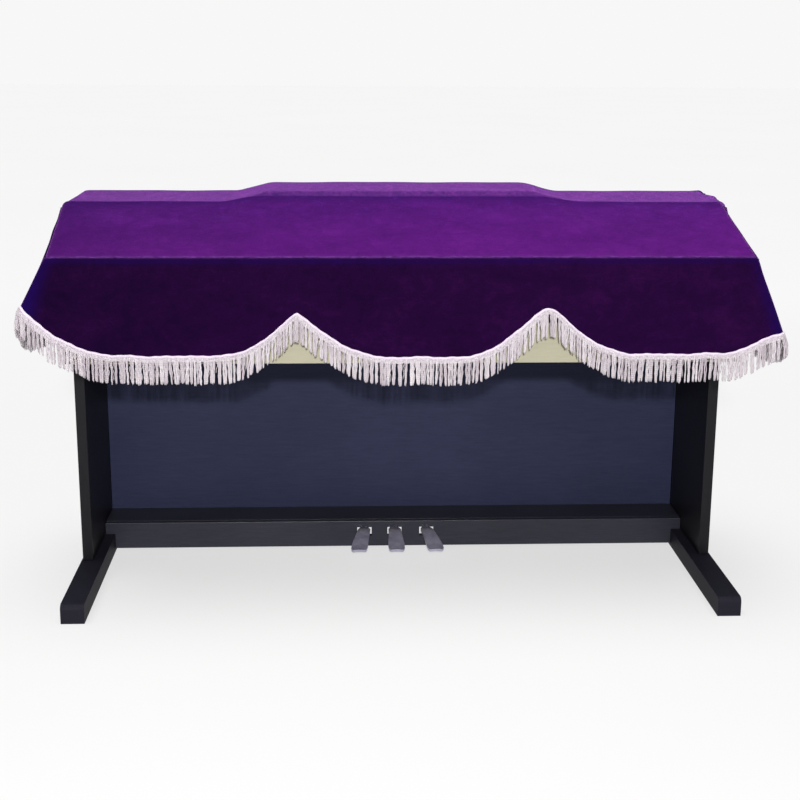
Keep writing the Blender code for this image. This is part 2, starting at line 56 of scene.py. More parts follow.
# ------------------------------------------------------------ cover's form ----
ROLL, ROLL_END = 0.015, math.radians(78)
UNDER = 0.010  # cloth behind the fringe's heading
BACK_EDGE, TOP_CREASE, FRONT_CREASE = (0.4595, 0.8150), (0.2350, 0.8137), (0.0300, 0.7310)
BACK_HEM = 0.616
HEM_FORWARD, HEM_BACKWARD = 0.016, 0.012
WIDTHS = [  # place, left, right half width
    ("back_hem", 0.702, 0.702),
    ("back_edge", 0.679, 0.6785),
    ("top_crease", 0.685, 0.6625),
    ("front_crease", 0.686, 0.684),
    ("front_hem", 0.7365, 0.7425),
]
PLACE = {row[0]: n for n, row in enumerate(WIDTHS)}
LIFT_Y = (0.0300, 0.2350, 0.2625, 0.4600)
LIFT = {  # at each of LIFT_Y
    "height": (0.0000, 0.0098, 0.0182, 0.0182),
    "left_foot": (-0.360, -0.360, -0.345, -0.345),
    "left_top": (-0.310, -0.310, -0.275, -0.275),
    "right_top": (0.290, 0.290, 0.259, 0.259),
    "right_foot": (0.375, 0.375, 0.345, 0.345),
}
HEM_X, HEM_Z = (-0.500, 0.020, 0.500), (0.5444, 0.5384, 0.5452)
CUSPS = (  # x, rise, reach to the left, reach to the right, bluntness
    (-0.7457, 0.1090, 0.2000, 0.1904, 0.0005),
    (-0.2118, 0.0925, 0.1585, 0.1910, 0.0061),
    (0.2760, 0.1183, 0.1749, 0.1778, 0.0198),
    (0.7475, 0.3330, 0.1611, 0.1211, 0.1036),
)
END_HEMS = {-1: (0.562, 0.260, 0.160, 0.030), 1: (0.545, 0.240, 0.160, 0.026)}


def hem_height(x):
    z = float(np.interp(x, HEM_X, HEM_Z))
    for cx, rise, left, right, blunt in CUSPS:
        far = math.hypot(x - cx, blunt)
        z += rise * max(0.0, 1 - far / (left if x < cx else right)) ** 2
    # the hem isn't quite even
    return z + 0.0009 * math.sin(31.0 * x + 0.8) + 0.0006 * math.sin(67.0 * x)


def ease(t):
    t = min(max(t, 0.0), 1.0)
    return t * t * (3 - 2 * t)


def lift_at(x, y):
    h, lf, lt, rt, rf = (float(np.interp(y, LIFT_Y, LIFT[k])) for k in LIFT)
    left = min(max((x - lf) / (lt - lf), 0.0), 1.0)
    return h * min(left, ease((rf - x) / (rf - rt)))


def lift(x, y):
    """The music rest's lift, softened as cloth does at its bends."""
    total = 0.0
    for dy in (-0.005, 0.0, 0.005):
        for dx in (-0.007, 0.0, 0.007):
            total += lift_at(x + dx, max(y + dy, 0.03))
    return total / 9


def top_height(x, y):
    if y >= TOP_CREASE[0]:
        t = (y - TOP_CREASE[0]) / (BACK_EDGE[0] - TOP_CREASE[0])
        flat = TOP_CREASE[1] + t * (BACK_EDGE[1] - TOP_CREASE[1])
    else:
        t = (y - FRONT_CREASE[0]) / (TOP_CREASE[0] - FRONT_CREASE[0])
        flat = FRONT_CREASE[1] + t * (TOP_CREASE[1] - FRONT_CREASE[1])
    return flat + lift(x, y)


def ripple(x, t):
    wave = math.sin(9.0 * x + 0.6) + 0.6 * math.sin(21.0 * x + 2.0)
    return 0.0022 * wave * t * t


BACK_T = sorted(
    set([0.0, 0.012, 0.024, 0.036, 0.046, 0.054, 0.062, 0.072, 0.088])
    | set(round(0.11 + 0.89 * k / 30, 5) for k in range(30))
)
FRONT_T = [k / 36 for k in range(1, 37)]
TOP_Y = [0.447 - (0.447 - 0.2445) * k / 38 for k in range(39)]
SLOPE_Y = [0.228 - (0.228 - 0.040) * k / 34 for k in range(35)]


def section_rows(x, hem_x):
    rows = []
    back_z = BACK_HEM - UNDER
    for t in BACK_T:
        y = BACK_EDGE[0] + HEM_BACKWARD * (1 - t) ** 1.3
        rows.append((y, back_z + t * (BACK_EDGE[1] - back_z), 0, 0, 0, t))
    rows.append((BACK_EDGE[0], top_height(x, BACK_EDGE[0]), 0.010, 7, 1, 0))
    for y in TOP_Y:
        rows.append((y, top_height(x, y), 0, 0, 1, 0.5))
    rows.append((TOP_CREASE[0], top_height(x, TOP_CREASE[0]), 0.012, 6, 2, 0))
    for y in SLOPE_Y:
        t = (TOP_CREASE[0] - y) / (TOP_CREASE[0] - FRONT_CREASE[0])
        rows.append((y, top_height(x, y), 0, 0, 2, t))
    rows.append((*FRONT_CREASE, 0.0052, 8, 3, 0))
    front_z = hem_height(hem_x) - UNDER
    for t in FRONT_T:
        y = FRONT_CREASE[0] - HEM_FORWARD * t**1.2 + ripple(hem_x, t)
        rows.append((y, FRONT_CREASE[1] + t * (front_z - FRONT_CREASE[1]), 0, 0, 3, t))
    return rows


def inset_and_round(rows, inset):
    P = np.array([r[:2] for r in rows])
    step = P[1:] - P[:-1]
    step /= np.linalg.norm(step, axis=1)[:, None]
    inward = np.stack([-step[:, 1], step[:, 0]], axis=1)
    first = np.concatenate([inward[:1], inward])
    second = np.concatenate([inward, inward[-1:]])
    half = first + second
    half /= np.linalg.norm(half, axis=1)[:, None]
    M = P + half * (inset / np.maximum((half * first).sum(1), 0.5))[:, None]
    out = []
    for k, row in enumerate(rows):
        if not row[3]:
            out.append((M[k, 0], M[k, 1], row[4], row[5], 0.0))
            continue
        # the straight runs on either side, measured well away from the bend
        a, b = M[max(k - 3, 0)] - M[k], M[min(k + 3, len(M) - 1)] - M[k]
        a, b = a / np.linalg.norm(a), b / np.linalg.norm(b)
        angle = math.acos(max(-1.0, min(1.0, float(a @ b)))) / 2
        radius = max(row[2] - inset, 0.0022)
        reach = radius / math.tan(angle)
        mid = (a + b) / np.linalg.norm(a + b) * (radius / math.sin(angle)) + M[k]
        s, e = M[k] + a * reach - mid, M[k] + b * reach - mid
        turn = math.atan2(s[0] * e[1] - s[1] * e[0], float(s @ e))
        for i in range(row[3] + 1):
            c, d = math.cos(turn * i / row[3]), math.sin(turn * i / row[3])
            out.append(
                (mid[0] + c * s[0] - d * s[1], mid[1] + d * s[0] + c * s[1], row[4], row[5],
                 math.sin(math.pi * (i + 0.5) / (row[3] + 1)))
            )
    return out


def half_width(side, place, share):
    col = 1 if side < 0 else 2
    a = WIDTHS[place][col]
    b = WIDTHS[min(place + 1, len(WIDTHS) - 1)][col]
    return a + (b - a) * share


def column(k, roll):
    """Points down one column of the long piece, outer face: rows of (x, y, z)."""
    side = -1 if k < 0 else 1
    inset, out_by = ROLL * (1 - math.cos(roll)), ROLL * math.sin(roll)
    top_x = k * (half_width(side, 2, 0) - ROLL) + side * out_by
    hem_x = k * (half_width(side, 4, 0) - ROLL) + side * out_by
    pts = []
    for y, z, place, share, _ in inset_and_round(section_rows(top_x, hem_x), inset):
        pts.append((k * (half_width(side, place, share) - ROLL) + side * out_by, y, z))
    return np.array(pts)


# ------------------------------------------------------------ mesh helpers ----
def new_mesh(name, verts, faces, uvs=None, smooth=True):
    mesh = bpy.data.meshes.new(name)
    mesh.from_pydata([tuple(v) for v in verts], [], [tuple(f) for f in faces])
    if uvs is not None:
        layer = mesh.uv_layers.new(name="UVMap")
        loops = np.empty(len(mesh.loops), np.int32)
        mesh.loops.foreach_get("vertex_index", loops)
        layer.data.foreach_set("uv", np.asarray(uvs, np.float32)[loops].ravel())
    mesh.validate()
    if smooth:
        mesh.shade_smooth()
    obj = bpy.data.objects.new(name, mesh)
    bpy.context.scene.collection.objects.link(obj)
    return obj


def grid_faces(n, m, flip=False):
    """Quads of an n x m grid of points, index i * m + j."""
    i, j = np.meshgrid(np.arange(n - 1), np.arange(m - 1), indexing="ij")
    a = (i * m + j).ravel()
    quads = np.stack([a, a + m, a + m + 1, a + 1], axis=1)
    return quads[:, ::-1] if flip else quads


def cloth_shell(name, P, uv, thickness=0.0022, flip=False, **fields):
    """A closed sheet: the outer grid P[i, j], an inner one behind it, and the rim between them.
    Its fields are numbers at each point of the grid."""
    n, m = P.shape[:2]
    N = grid_normals(P) * (-1 if flip else 1)
    for _ in range(2):  # calm the normals, so the inner face doesn't cross itself in a tight fold
        Q = N.copy()
        Q[1:-1] += 0.5 * (N[2:] + N[:-2])
        Q[:, 1:-1] += 0.5 * (N[:, 2:] + N[:, :-2])
        N = Q / np.linalg.norm(Q, axis=2)[..., None]
    inner = P - N * thickness
    idx = np.arange(n * m).reshape(n, m)
    front = grid_faces(n, m, flip)
    back = front[:, ::-1] + n * m
    ring = np.concatenate([idx[:, 0], idx[-1, 1:], idx[-2::-1, -1], idx[0, -2:0:-1]])
    after = np.roll(ring, -1)
    rim = np.stack([ring, ring + n * m, after + n * m, after], axis=1)
    if flip:
        rim = rim[:, ::-1]
    faces = np.concatenate([front, back, rim])
    verts = np.concatenate([P.reshape(-1, 3), inner.reshape(-1, 3)]) + SHIFT
    obj = new_mesh(name, verts, faces, uvs=np.concatenate([uv, uv]))
    for key, values in fields.items():
        flat = np.asarray(values, float).ravel()
        add_float(obj, key, np.concatenate([flat, flat]))
    return obj


def add_float(obj, name, values):
    layer = obj.data.attributes.new(name, "FLOAT", "POINT")
    layer.data.foreach_set("value", np.asarray(values, np.float32).ravel())


def grid_normals(P):
    """Outward normals of a grid of points P[i, j] with i x j outwards."""
    du = np.gradient(P, axis=0)
    dv = np.gradient(P, axis=1)
    n = np.cross(du, dv)
    return n / np.maximum(np.linalg.norm(n, axis=2), 1e-12)[..., None]


def bump_field(x, s, spots):
    """Sum of long soft ridges: (x, s, length, width, angle, height) each."""
    h = np.zeros_like(x)
    for cx, cs, length, width, angle, height in spots:
        c, d = math.cos(angle), math.sin(angle)
        along = (x - cx) * c + (s - cs) * d
        across = -(x - cx) * d + (s - cs) * c
        h += height * np.exp(-((along / length) ** 2) - (across / width) ** 2)
    return h


def waves(x, s, seed, scale, count=14):
    """A smooth uneven field of about unit height."""
    g = np.random.default_rng(seed)
    h = np.zeros(np.broadcast(x, s).shape)
    for _ in range(count):
        a = g.uniform(0, math.pi)
        f = g.uniform(0.5, 1.6) * 2 * math.pi / scale
        h += np.sin(f * (x * math.cos(a) + s * math.sin(a)) + g.uniform(0, 6.28)) * g.uniform(0.4, 1)
    return h / math.sqrt(count)


# ------------------------------------------------------------- long piece ----
FLAT = 262
ROLLS = [ROLL_END * (i + 1) / 9 for i in range(9)]
spots = (
    [(-1.0, r) for r in reversed(ROLLS)]
    + [(-1 + 2 * i / FLAT, 0.0) for i in range(FLAT + 1)]
    + [(1.0, r) for r in ROLLS]
)
cols = [column(k, r) for k, r in spots]
main = np.stack([c[::-1] for c in cols])  # [column, row], rows from the front hem up and over
kk = np.array([k for k, _ in spots])
rolled = np.array([r / ROLL_END for _, r in spots])
n_cols, n_rows = main.shape[:2]

# where each row lies, counted from the front hem
n_front = len(FRONT_T)
row_front = np.arange(n_rows) < n_front
i_crease = n_front + 4  # middle of the front crease
i_slope0 = n_front + 9
i_slope1 = i_slope0 + len(SLOPE_Y)
i_top0 = i_slope1 + 7
i_top1 = i_top0 + len(TOP_Y)
i_back0 = i_top1 + 8

path = np.zeros((n_cols, n_rows))
path[:, 1:] = np.cumsum(np.linalg.norm(main[:, 1:] - main[:, :-1], axis=2), axis=1)
path -= path[:, i_crease][:, None]  # 0 at the front crease, below 0 on the front drop
X = main[..., 0]

normal = grid_normals(main)
h = np.zeros_like(X)
# front drop: drag lines towards the right corner, shallow hollows above the scallops
drop = np.clip(-path / 0.03, 0, 1)
h += drop * bump_field(X, path, [
    (0.560, -0.075, 0.110, 0.012, 0.42, 0.0020),
    (0.500, -0.105, 0.120, 0.014, 0.50, -0.0014),
    (0.620, -0.110, 0.090, 0.012, 0.62, 0.0018),
    (0.640, -0.070, 0.070, 0.010, 0.30, -0.0012),
    (0.440, -0.060, 0.090, 0.018, 0.25, 0.0010),
    (-0.600, -0.070, 0.090, 0.016, -0.55, 0.0014),
    (-0.640, -0.040, 0.060, 0.012, -0.80, -0.0010),
    (-0.560, -0.110, 0.080, 0.018, -0.40, -0.0012),
    (-0.212, -0.080, 0.060, 0.020, 1.45, 0.0016),
    (0.276, -0.070, 0.060, 0.022, 1.62, 0.0018),
    (0.030, -0.120, 0.140, 0.040, 0.05, -0.0016),
])
h += drop * 0.0007 * waves(X, path, 3, 0.16)
# slope and top: faint pull from the music rest's corners, and an uneven lie
up = np.clip(path / 0.03, 0, 1)
h += up * bump_field(X, path, [
    (-0.330, 0.150, 0.060, 0.010, 1.05, 0.0012),
    (-0.375, 0.165, 0.070, 0.011, 0.70, -0.0009),
    (-0.300, 0.130, 0.070, 0.012, 1.35, -0.0008),
    (0.335, 0.150, 0.070, 0.012, 2.10, 0.0011),
    (0.390, 0.160, 0.080, 0.012, 2.50, -0.0008),
    (-0.420, 0.190, 0.090, 0.009, 0.25, 0.0008),
    (0.450, 0.195, 0.090, 0.010, 2.85, 0.0007),
])
h += up * 0.0005 * waves(X, path, 5, 0.20)
# a crease in cloth isn't quite straight, and it puckers at its right end
h += 0.0008 * np.exp(-((path / 0.007) ** 2)) * waves(X, 0 * path, 9, 0.055)
h += bump_field(X, path, [(0.655, 0.006, 0.022, 0.006, 0.15, -0.0016), (0.625, -0.004, 0.020, 0.005, -0.2, 0.0010)])
# the turned hem along the back, with its line of stitching
back_up = path[:, -1][:, None] - path
h += np.where(back_up < 0.020, 0.0008 * np.clip((0.0135 - back_up) / 0.002, 0, 1), 0)
h -= 0.0007 * np.exp(-((back_up - 0.0118) / 0.0011) ** 2)
# the sewn edges turn in
h -= (np.clip((np.abs(kk) >= 0.999) * (rolled - 0.80) / 0.20, 0, 1) ** 2 * 0.0022)[:, None]
main = main + normal * h[..., None]


def smooth(t):
    t = np.clip(t, 0, 1)
    return t * t * (3 - 2 * t)


def ear(P):
    """On the right edge of the top, ahead of the back corner, a small ear of cloth stands out."""
    x, y, z = P[..., 0], P[..., 1], P[..., 2]
    along = np.clip((y - 0.260) / 0.106, 0, 1) ** 1.9 * (1 - smooth((y - 0.362) / 0.042))
    far = smooth((y - 0.400) / 0.050) * smooth((x - 0.645) / 0.020)
    Q = P.copy()
    Q[..., 0] += 0.0160 * along * smooth((x - 0.6519) / 0.013) * smooth((z - 0.735) / 0.060)
    Q[..., 2] += 0.0013 * far * smooth((z - 0.770) / 0.030)
    return Q


main = ear(main)

crease = np.exp(-((path / 0.0022) ** 2))
edge_in = np.abs(X) - np.where(X < 0, 0.686, 0.684) + 0.28 * np.minimum(path, 0)
side_sheen = np.where(path < 0.0, np.clip((edge_in + 0.030) / 0.030, 0, 1) ** 1.5, 0.0)

# painted light: the front and back drops take a dark, shaded copy of the velvet's colour and the slope and top lighter,
# lit copies; the rolled sides take less of the lit colour
nap = np.clip((path + 0.0004) / 0.0026, 0, 1) * np.clip((back_up - 0.2090) / 0.0040, 0, 1)
up_slope = np.clip(path / path[:, i_slope1 + 3][:, None], 0, 1)
# painted sheen: a dark blue band along the rounding at the back edge
back_rim_sheen = np.exp(-(((path - path[:, i_top1 + 1][:, None] - 0.0010) / 0.0052) ** 2))
under_crease = np.exp(-(((path + 0.0085) / 0.0055) ** 2))
top_share = np.clip((path - path[:, i_slope1 + 3][:, None]) / 0.004, 0, 1) * nap
nap = nap * (1 - 0.45 * (np.abs(kk)[:, None] >= 0.9999) * rolled[:, None])
cover_main = cloth_shell(
    "velvet_main", main, np.stack([X.ravel(), path.ravel()], axis=1),
    crease=crease, side=side_sheen, nap=nap, top=top_share, rise=up_slope, rim=back_rim_sheen, under=under_crease,
)

# -------------------------------------------------------------- end pieces ----
def run_share(P):
    d = np.concatenate([[0], np.cumsum(np.linalg.norm(P[1:] - P[:-1], axis=1))])
    return d / d[-1]


def end_piece(side):
    edge = column(float(side), ROLL_END + 0.0006 / ROLL)
    first = len(BACK_T) + 4
    last = len(edge) - 1 - len(FRONT_T) - 4
    back, front, top = edge[first::-1], edge[last:], edge[first : last + 1]
    us = run_share(top)
    vs = np.linspace(0, 1, 46)
    back = np.stack([np.interp(vs, run_share(back), back[:, a]) for a in range(3)], axis=1)
    front = np.stack([np.interp(vs, run_share(front), front[:, a]) for a in range(3)], axis=1)
    level, front_reach, back_reach, bulge = END_HEMS[side]
    level -= UNDER
    f, b = front[-1], back[-1]
    hem = []
    for u in us:
        y = b[1] + (f[1] - b[1]) * u
        z = level
        z += (f[2] - z) * max(0.0, 1 - (y - f[1]) / front_reach) ** 2
        z += (b[2] - level) * max(0.0, 1 - (b[1] - y) / back_reach) ** 2
        x = b[0] + (f[0] - b[0]) * u + side * bulge * math.sin(math.pi * u) ** 0.8
        hem.append((x, y, z))
    hem = np.array(hem)
    U, V = us[:, None, None], vs[None, :, None]
    P = (
        top[:, None] * (1 - V) + hem[:, None] * V + back[None] * (1 - U) + front[None] * U
        - top[0] * (1 - U) * (1 - V) - top[-1] * U * (1 - V)
        - hem[0] * (1 - U) * V - hem[-1] * U * V
    )
    # hanging folds, none along the seams
    u, v = us[:, None], vs[None, :]
    inside = np.sin(np.pi * u) ** 0.7
    fold = (
        0.0042 * np.sin(2 * np.pi * (2.35 * u + 0.10 * side) + 0.7) * v**1.3
        + 0.0022 * np.sin(2 * np.pi * (4.6 * u + 0.05 * v) + 2.0 * side) * v**1.8
        + 0.0010 * waves(u * 0.43, v * 0.24, 11 + side, 0.12)
    ) * inside
    edge_in = np.minimum(np.minimum(u, 1 - u) * 0.44, v * 0.25)
    fold = fold * np.clip(edge_in / 0.02, 0, 1) - 0.0022 * np.clip(1 - edge_in / 0.0045, 0, 1) ** 2 * (v < 0.985)
    P = P + np.array([side, 0, 0]) * fold[..., None]
    return ear(P), us, vs


end_grids = {}
cover_ends = {}
for side, name in ((-1, "velvet_end_left"), (1, "velvet_end_right")):
    P, us, vs = end_piece(side)
    end_grids[side] = P
    G = P if side < 0 else P[::-1]
    uv = np.stack(np.meshgrid(us * 0.43, vs * 0.25, indexing="ij"), axis=2)
    uv = uv if side < 0 else uv[::-1]
    # painted sheen: the end pieces take a share of the blue side colour all over
    obj = cloth_shell(name, G, uv.reshape(-1, 2), flip=True, crease=np.zeros(G.shape[:2]), side=np.full(G.shape[:2], 0.35),
                      nap=np.zeros(G.shape[:2]), top=np.zeros(G.shape[:2]), rise=np.zeros(G.shape[:2]), rim=np.zeros(G.shape[:2]), under=np.zeros(G.shape[:2]))
    cover_ends[side] = obj

# ------------------------------------------------------------------ fringe ----
HEADING, DROP = 0.0130, 0.0570


def hem_path():
    """(heading's top, way down the cloth) from the back left corner round to the back right."""
    tops, ways = [], []

    def add(low, high):
        way = (low - high) / np.linalg.norm(low - high)
        tops.append(low - way * UNDER)
        ways.append(way)

    left, right = end_grids[-1], end_grids[1]
    for i in range(len(left)):
        add(left[i, -1], left[i, -4])
    front = main[:, 0], main[:, 4]
    for i in range(n_cols):
        add(front[0][i], front[1][i])
    for i in range(len(right) - 1, -1, -1):
        add(right[i, -1], right[i, -4])
    tops, ways = np.array(tops), np.array(ways)
    keep = np.concatenate([[True], np.linalg.norm(tops[1:] - tops[:-1], axis=1) > 2e-4])
    tops, ways = tops[keep], ways[keep]
    s = np.concatenate([[0], np.cumsum(np.linalg.norm(tops[1:] - tops[:-1], axis=1))])
    fine = np.arange(0, s[-1], 0.0025)
    T = np.stack([np.interp(fine, s, tops[:, a]) for a in range(3)], axis=1)
    W = np.stack([np.interp(fine, s, ways[:, a]) for a in range(3)], axis=1)
    # a stitched heading doesn't follow each small turn
    kernel = np.hanning(9); kernel /= kernel.sum()
    pad = 4
    Wp = np.pad(W, ((pad, pad), (0, 0)), mode="edge")
    W = np.stack([np.convolve(Wp[:, a], kernel, mode="valid") for a in range(3)], axis=1)
    W /= np.linalg.norm(W, axis=1)[:, None]
    flat = np.gradient(T[:, :2], axis=0)
    fp = np.pad(flat, ((pad, pad), (0, 0)), mode="edge")
    flat = np.stack([np.convolve(fp[:, a], kernel, mode="valid") for a in range(2)], axis=1)
    N = np.stack([flat[:, 1], -flat[:, 0], np.zeros(len(flat))], axis=1)
    N /= np.linalg.norm(N, axis=1)[:, None]
    rise = np.gradient(T[:, 2]) / np.maximum(np.linalg.norm(flat, axis=1), 1e-6)
    rise = np.convolve(np.pad(rise, pad, mode="edge"), kernel, mode="valid")
    return fine, T, W, N, rise


hs, hT, hW, hN, hRise = hem_path()
TOTAL = hs[-1]
SLANT = np.minimum(np.hypot(1, hRise), 1.4)
OUT = 0.0016  # heading's middle, outside the cloth


def at(s, A):
    s = np.clip(s, 0, TOTAL)
    if A.ndim == 1:
        return np.interp(s, hs, A)
    return np.stack([np.interp(s, hs, A[:, a]) for a in range(A.shape[1])], axis=-1)


def heading(name, s0, s1):
    """The woven heading: a rounded cord along its top over a looser ribbed band."""
    ss = np.arange(s0, s1 + 1e-9, 0.0013)
    T, W, N = at(ss, hT), at(ss, hW), at(ss, hN)
    slant = at(ss, SLANT)[:, None]
    # profile round the band: (how far down, how far out)
    prof = np.array([
        (0.0009, 0.0004), (0.0008, 0.0016), (0.0014, 0.0028), (0.0026, 0.0034), (0.0038, 0.0031), (0.0046, 0.0022),
        (0.0064, 0.0024), (0.0082, 0.0021), (0.0100, 0.0024), (0.0116, 0.0022), (0.0130, 0.0018), (0.0135, 0.0008),
        (0.0122, 0.0003), (0.0060, 0.0003),
    ])
    m = len(prof)
    # the cord's twist, and the weave's knots on the band below it
    twist = 0.00034 * np.sin(2 * np.pi * ss / 0.0046)
    knots = 0.00030 * np.sin(2 * np.pi * ss / 0.0052 + 0.9)
    wander = 0.00055 * (np.sin(2 * np.pi * ss / 0.061 + 1.0) + 0.7 * np.sin(2 * np.pi * ss / 0.023))
    lines = []
    for n, (d, o) in enumerate(prof):
        live = 1.0 if o > 0.001 else 0.0
        wave = twist if d < 0.0048 else knots * (1 if n % 2 else -1)
        edge = 0.0007 * np.sin(2 * np.pi * ss / 0.0052 + 2.1) if d > 0.0121 else 0.0
        lines.append(T + W * ((slant[:, 0] * d) + wander + edge)[:, None] + N * (o + live * wave)[:, None])
    P = np.stack(lines, axis=1)
    n = len(ss)
    idx = np.arange(n * m).reshape(n, m)
    a, b = idx[:-1], idx[1:]
    quads = np.stack([a, np.roll(a, -1, axis=1), np.roll(b, -1, axis=1), b], axis=2).reshape(-1, 4)
    faces = [tuple(q) for q in quads]
    faces.append(tuple(idx[0][::-1]))
    faces.append(tuple(idx[-1]))
    uv = np.stack([np.repeat(ss, m), np.tile(np.arange(m) * 0.0013, n)], axis=1)
    return new_mesh(name, (P + SHIFT).reshape(-1, 3), faces, uvs=uv)


def strands(name, s0, s1, seed):
    """Hanging cords under the heading, drawn together into uneven tassels with gaps between."""
    g = np.random.default_rng(seed)
    verts, faces, uvs, tone = [], [], [], []
    rings, sides = 12, 5
    ring_t = np.linspace(0, 1, rings)
    ang = 2 * np.pi * np.arange(sides) / sides
    base = 0
    s = s0 + 0.0006
    while s < s1 - 0.002:
        wide = min(float(g.choice([0.0042, 0.0064, 0.0088, 0.0118], p=[0.26, 0.36, 0.26, 0.12]) * g.uniform(0.88, 1.12)), s1 - s)
        gap = float(g.choice([0.0005, 0.0017, 0.0031, 0.0050], p=[0.22, 0.34, 0.32, 0.12]))
        mid = s + wide / 2
        lean, swing = g.normal(0, 0.0011), g.normal(0.0003, 0.0007)
        pull = g.uniform(0.05, 0.42)
        short = g.normal(0, 0.0011)
        hue = g.uniform(0, 1)
        places = []
        n_front = max(1, int(round(wide / 0.0025)))
        for e in range(n_front):
            places.append((s + wide * (e + 0.5) / n_front, 0.0020, 0.00122))
        for e in range(max(1, n_front - 1)):
            places.append((s + wide * (e + 1.0) / max(n_front, 2), 0.0004, 0.00120))
        # a thin stray cord or two crosses the gap
        for e in range(int(g.choice([0, 1, 2], p=[0.42, 0.44, 0.14]))):
            places.append((min(s + wide + gap * g.uniform(0.1, 0.9), s1), 0.0012, 0.00068))
        T0, N0 = at(mid, hT), at(mid, hN)
        tangent = np.array([-N0[1], N0[0], 0.0])
        for sp, off, radius in places:
            sp = sp + g.normal(0, 0.0003)
            T, W, N = at(sp, hT), at(sp, hW), at(sp, hN)
            slant = float(at(sp, SLANT))
            flare = float(at(sp, hFlare))
            start = T + W * slant * (HEADING - 0.0030) + N * off
            z_tip = T[2] - DROP + float(at(sp, hShort)) + short + g.normal(0, 0.0007) + (0.0010 if off < 0.001 else 0.0)
            # the outer cords of a tassel are drawn in, so its foot is rounded
            rim = abs(sp - mid) / max(wide / 2, 0.001)
            z_tip += 0.0022 * rim**2 * (wide > 0.005)
            length = start[2] - z_tip
            move = (mid - sp) * pull + lean + g.normal(0, 0.00035)
            out = swing + g.normal(0, 0.0004) + flare
            ph = g.uniform(0, 6.28)
            stray = radius < 0.0010
            wob = g.uniform(0.0012, 0.0024) if stray else g.uniform(0.0003, 0.0010)
            if stray:
                z_tip += g.uniform(0.0, 0.012)
                length = start[2] - z_tip
            r0 = radius * g.uniform(0.84, 1.16)
            side_off = move * ring_t**1.2 + wob * np.sin(ring_t * g.uniform(6, 13) + ph) * np.sin(np.pi * np.clip(ring_t * 1.1, 0, 1))
            out_off = (out - flare) * ring_t**1.1 + flare * np.sin(2.2 * ring_t) + 0.0005 * np.sin(ring_t * 7 + ph * 1.7)
            C = start[None] + tangent[None] * side_off[:, None] + N[None] * out_off[:, None]
            C[:, 2] = start[2] - length * ring_t
            r = r0 * (0.95 + 0.17 * np.sin(ring_t * 23.0 + ph)) * np.where(ring_t > 0.97, 0.62, 1.0)
            lobe = 1 + 0.20 * np.cos(2 * (ang[None] - ring_t[:, None] * 17 - ph))
            ring = (
                C[:, None]
                + tangent[None, None] * (r[:, None] * lobe * np.cos(ang)[None])[..., None]
                + N[None, None] * (r[:, None] * lobe * np.sin(ang)[None])[..., None]
            )
            tip = C[-1] - np.array([0, 0, r0 * 0.6])
            verts.append(ring.reshape(-1, 3)); verts.append(tip[None])
            idx = base + np.arange(rings * sides).reshape(rings, sides)
            a, b = idx[:-1], idx[1:]
            q = np.stack([a, np.roll(a, -1, axis=1), np.roll(b, -1, axis=1), b], axis=2).reshape(-1, 4)
            faces.extend(map(tuple, q))
            tip_i = base + rings * sides
            for e in range(sides):
                faces.append((int(idx[-1][(e + 1) % sides]), tip_i, int(idx[-1][e])))
            faces.append(tuple(int(v) for v in idx[0][::-1]))
            uvs.append(np.stack([np.tile(ang / (2 * np.pi), rings), np.repeat(ring_t * length, sides)], axis=1))
            uvs.append(np.array([[0.5, length]]))
            tone.append(np.full(rings * sides + 1, 0.6 * hue + 0.4 * g.uniform(0, 1)))
            base = tip_i + 1
        s += wide + gap
    V = np.concatenate(verts)
    obj = new_mesh(name, V + SHIFT, faces, uvs=np.concatenate(uvs))
    add_float(obj, "tone", np.concatenate(tone))
    return obj


# how far the cords swing out: at the two front corners they stand away from the cloth
left_corner = float(hs[np.argmin(np.linalg.norm(hT - main[0, 0], axis=1))])
right_corner = float(hs[np.argmin(np.linalg.norm(hT - main[-1, 0], axis=1))])
hFlare = 0.0045 * np.exp(-(((hs - left_corner) / 0.040) ** 2)) + 0.0065 * np.exp(-(((hs - right_corner) / 0.035) ** 2))
hShort = 0.0130 * np.exp(-(((hs - left_corner) / 0.030) ** 2)) + 0.0060 * np.exp(-(((hs - right_corner) / 0.030) ** 2))

LEFT_END = run_len_left = float(np.linalg.norm(end_grids[-1][1:, -1] - end_grids[-1][:-1, -1], axis=1).sum())
RIGHT_END = float(np.linalg.norm(end_grids[1][1:, -1] - end_grids[1][:-1, -1], axis=1).sum())
fringe_parts = []
heads = [heading("fringe_heading", 0.0, TOTAL)]
cuts = [0.0, LEFT_END, LEFT_END + 0.52, LEFT_END + 1.05, TOTAL - RIGHT_END, TOTAL]
for n in range(len(cuts) - 1):
    fringe_parts.append(strands(f"fringe_strands_{n}", cuts[n], cuts[n + 1], 20 + n))


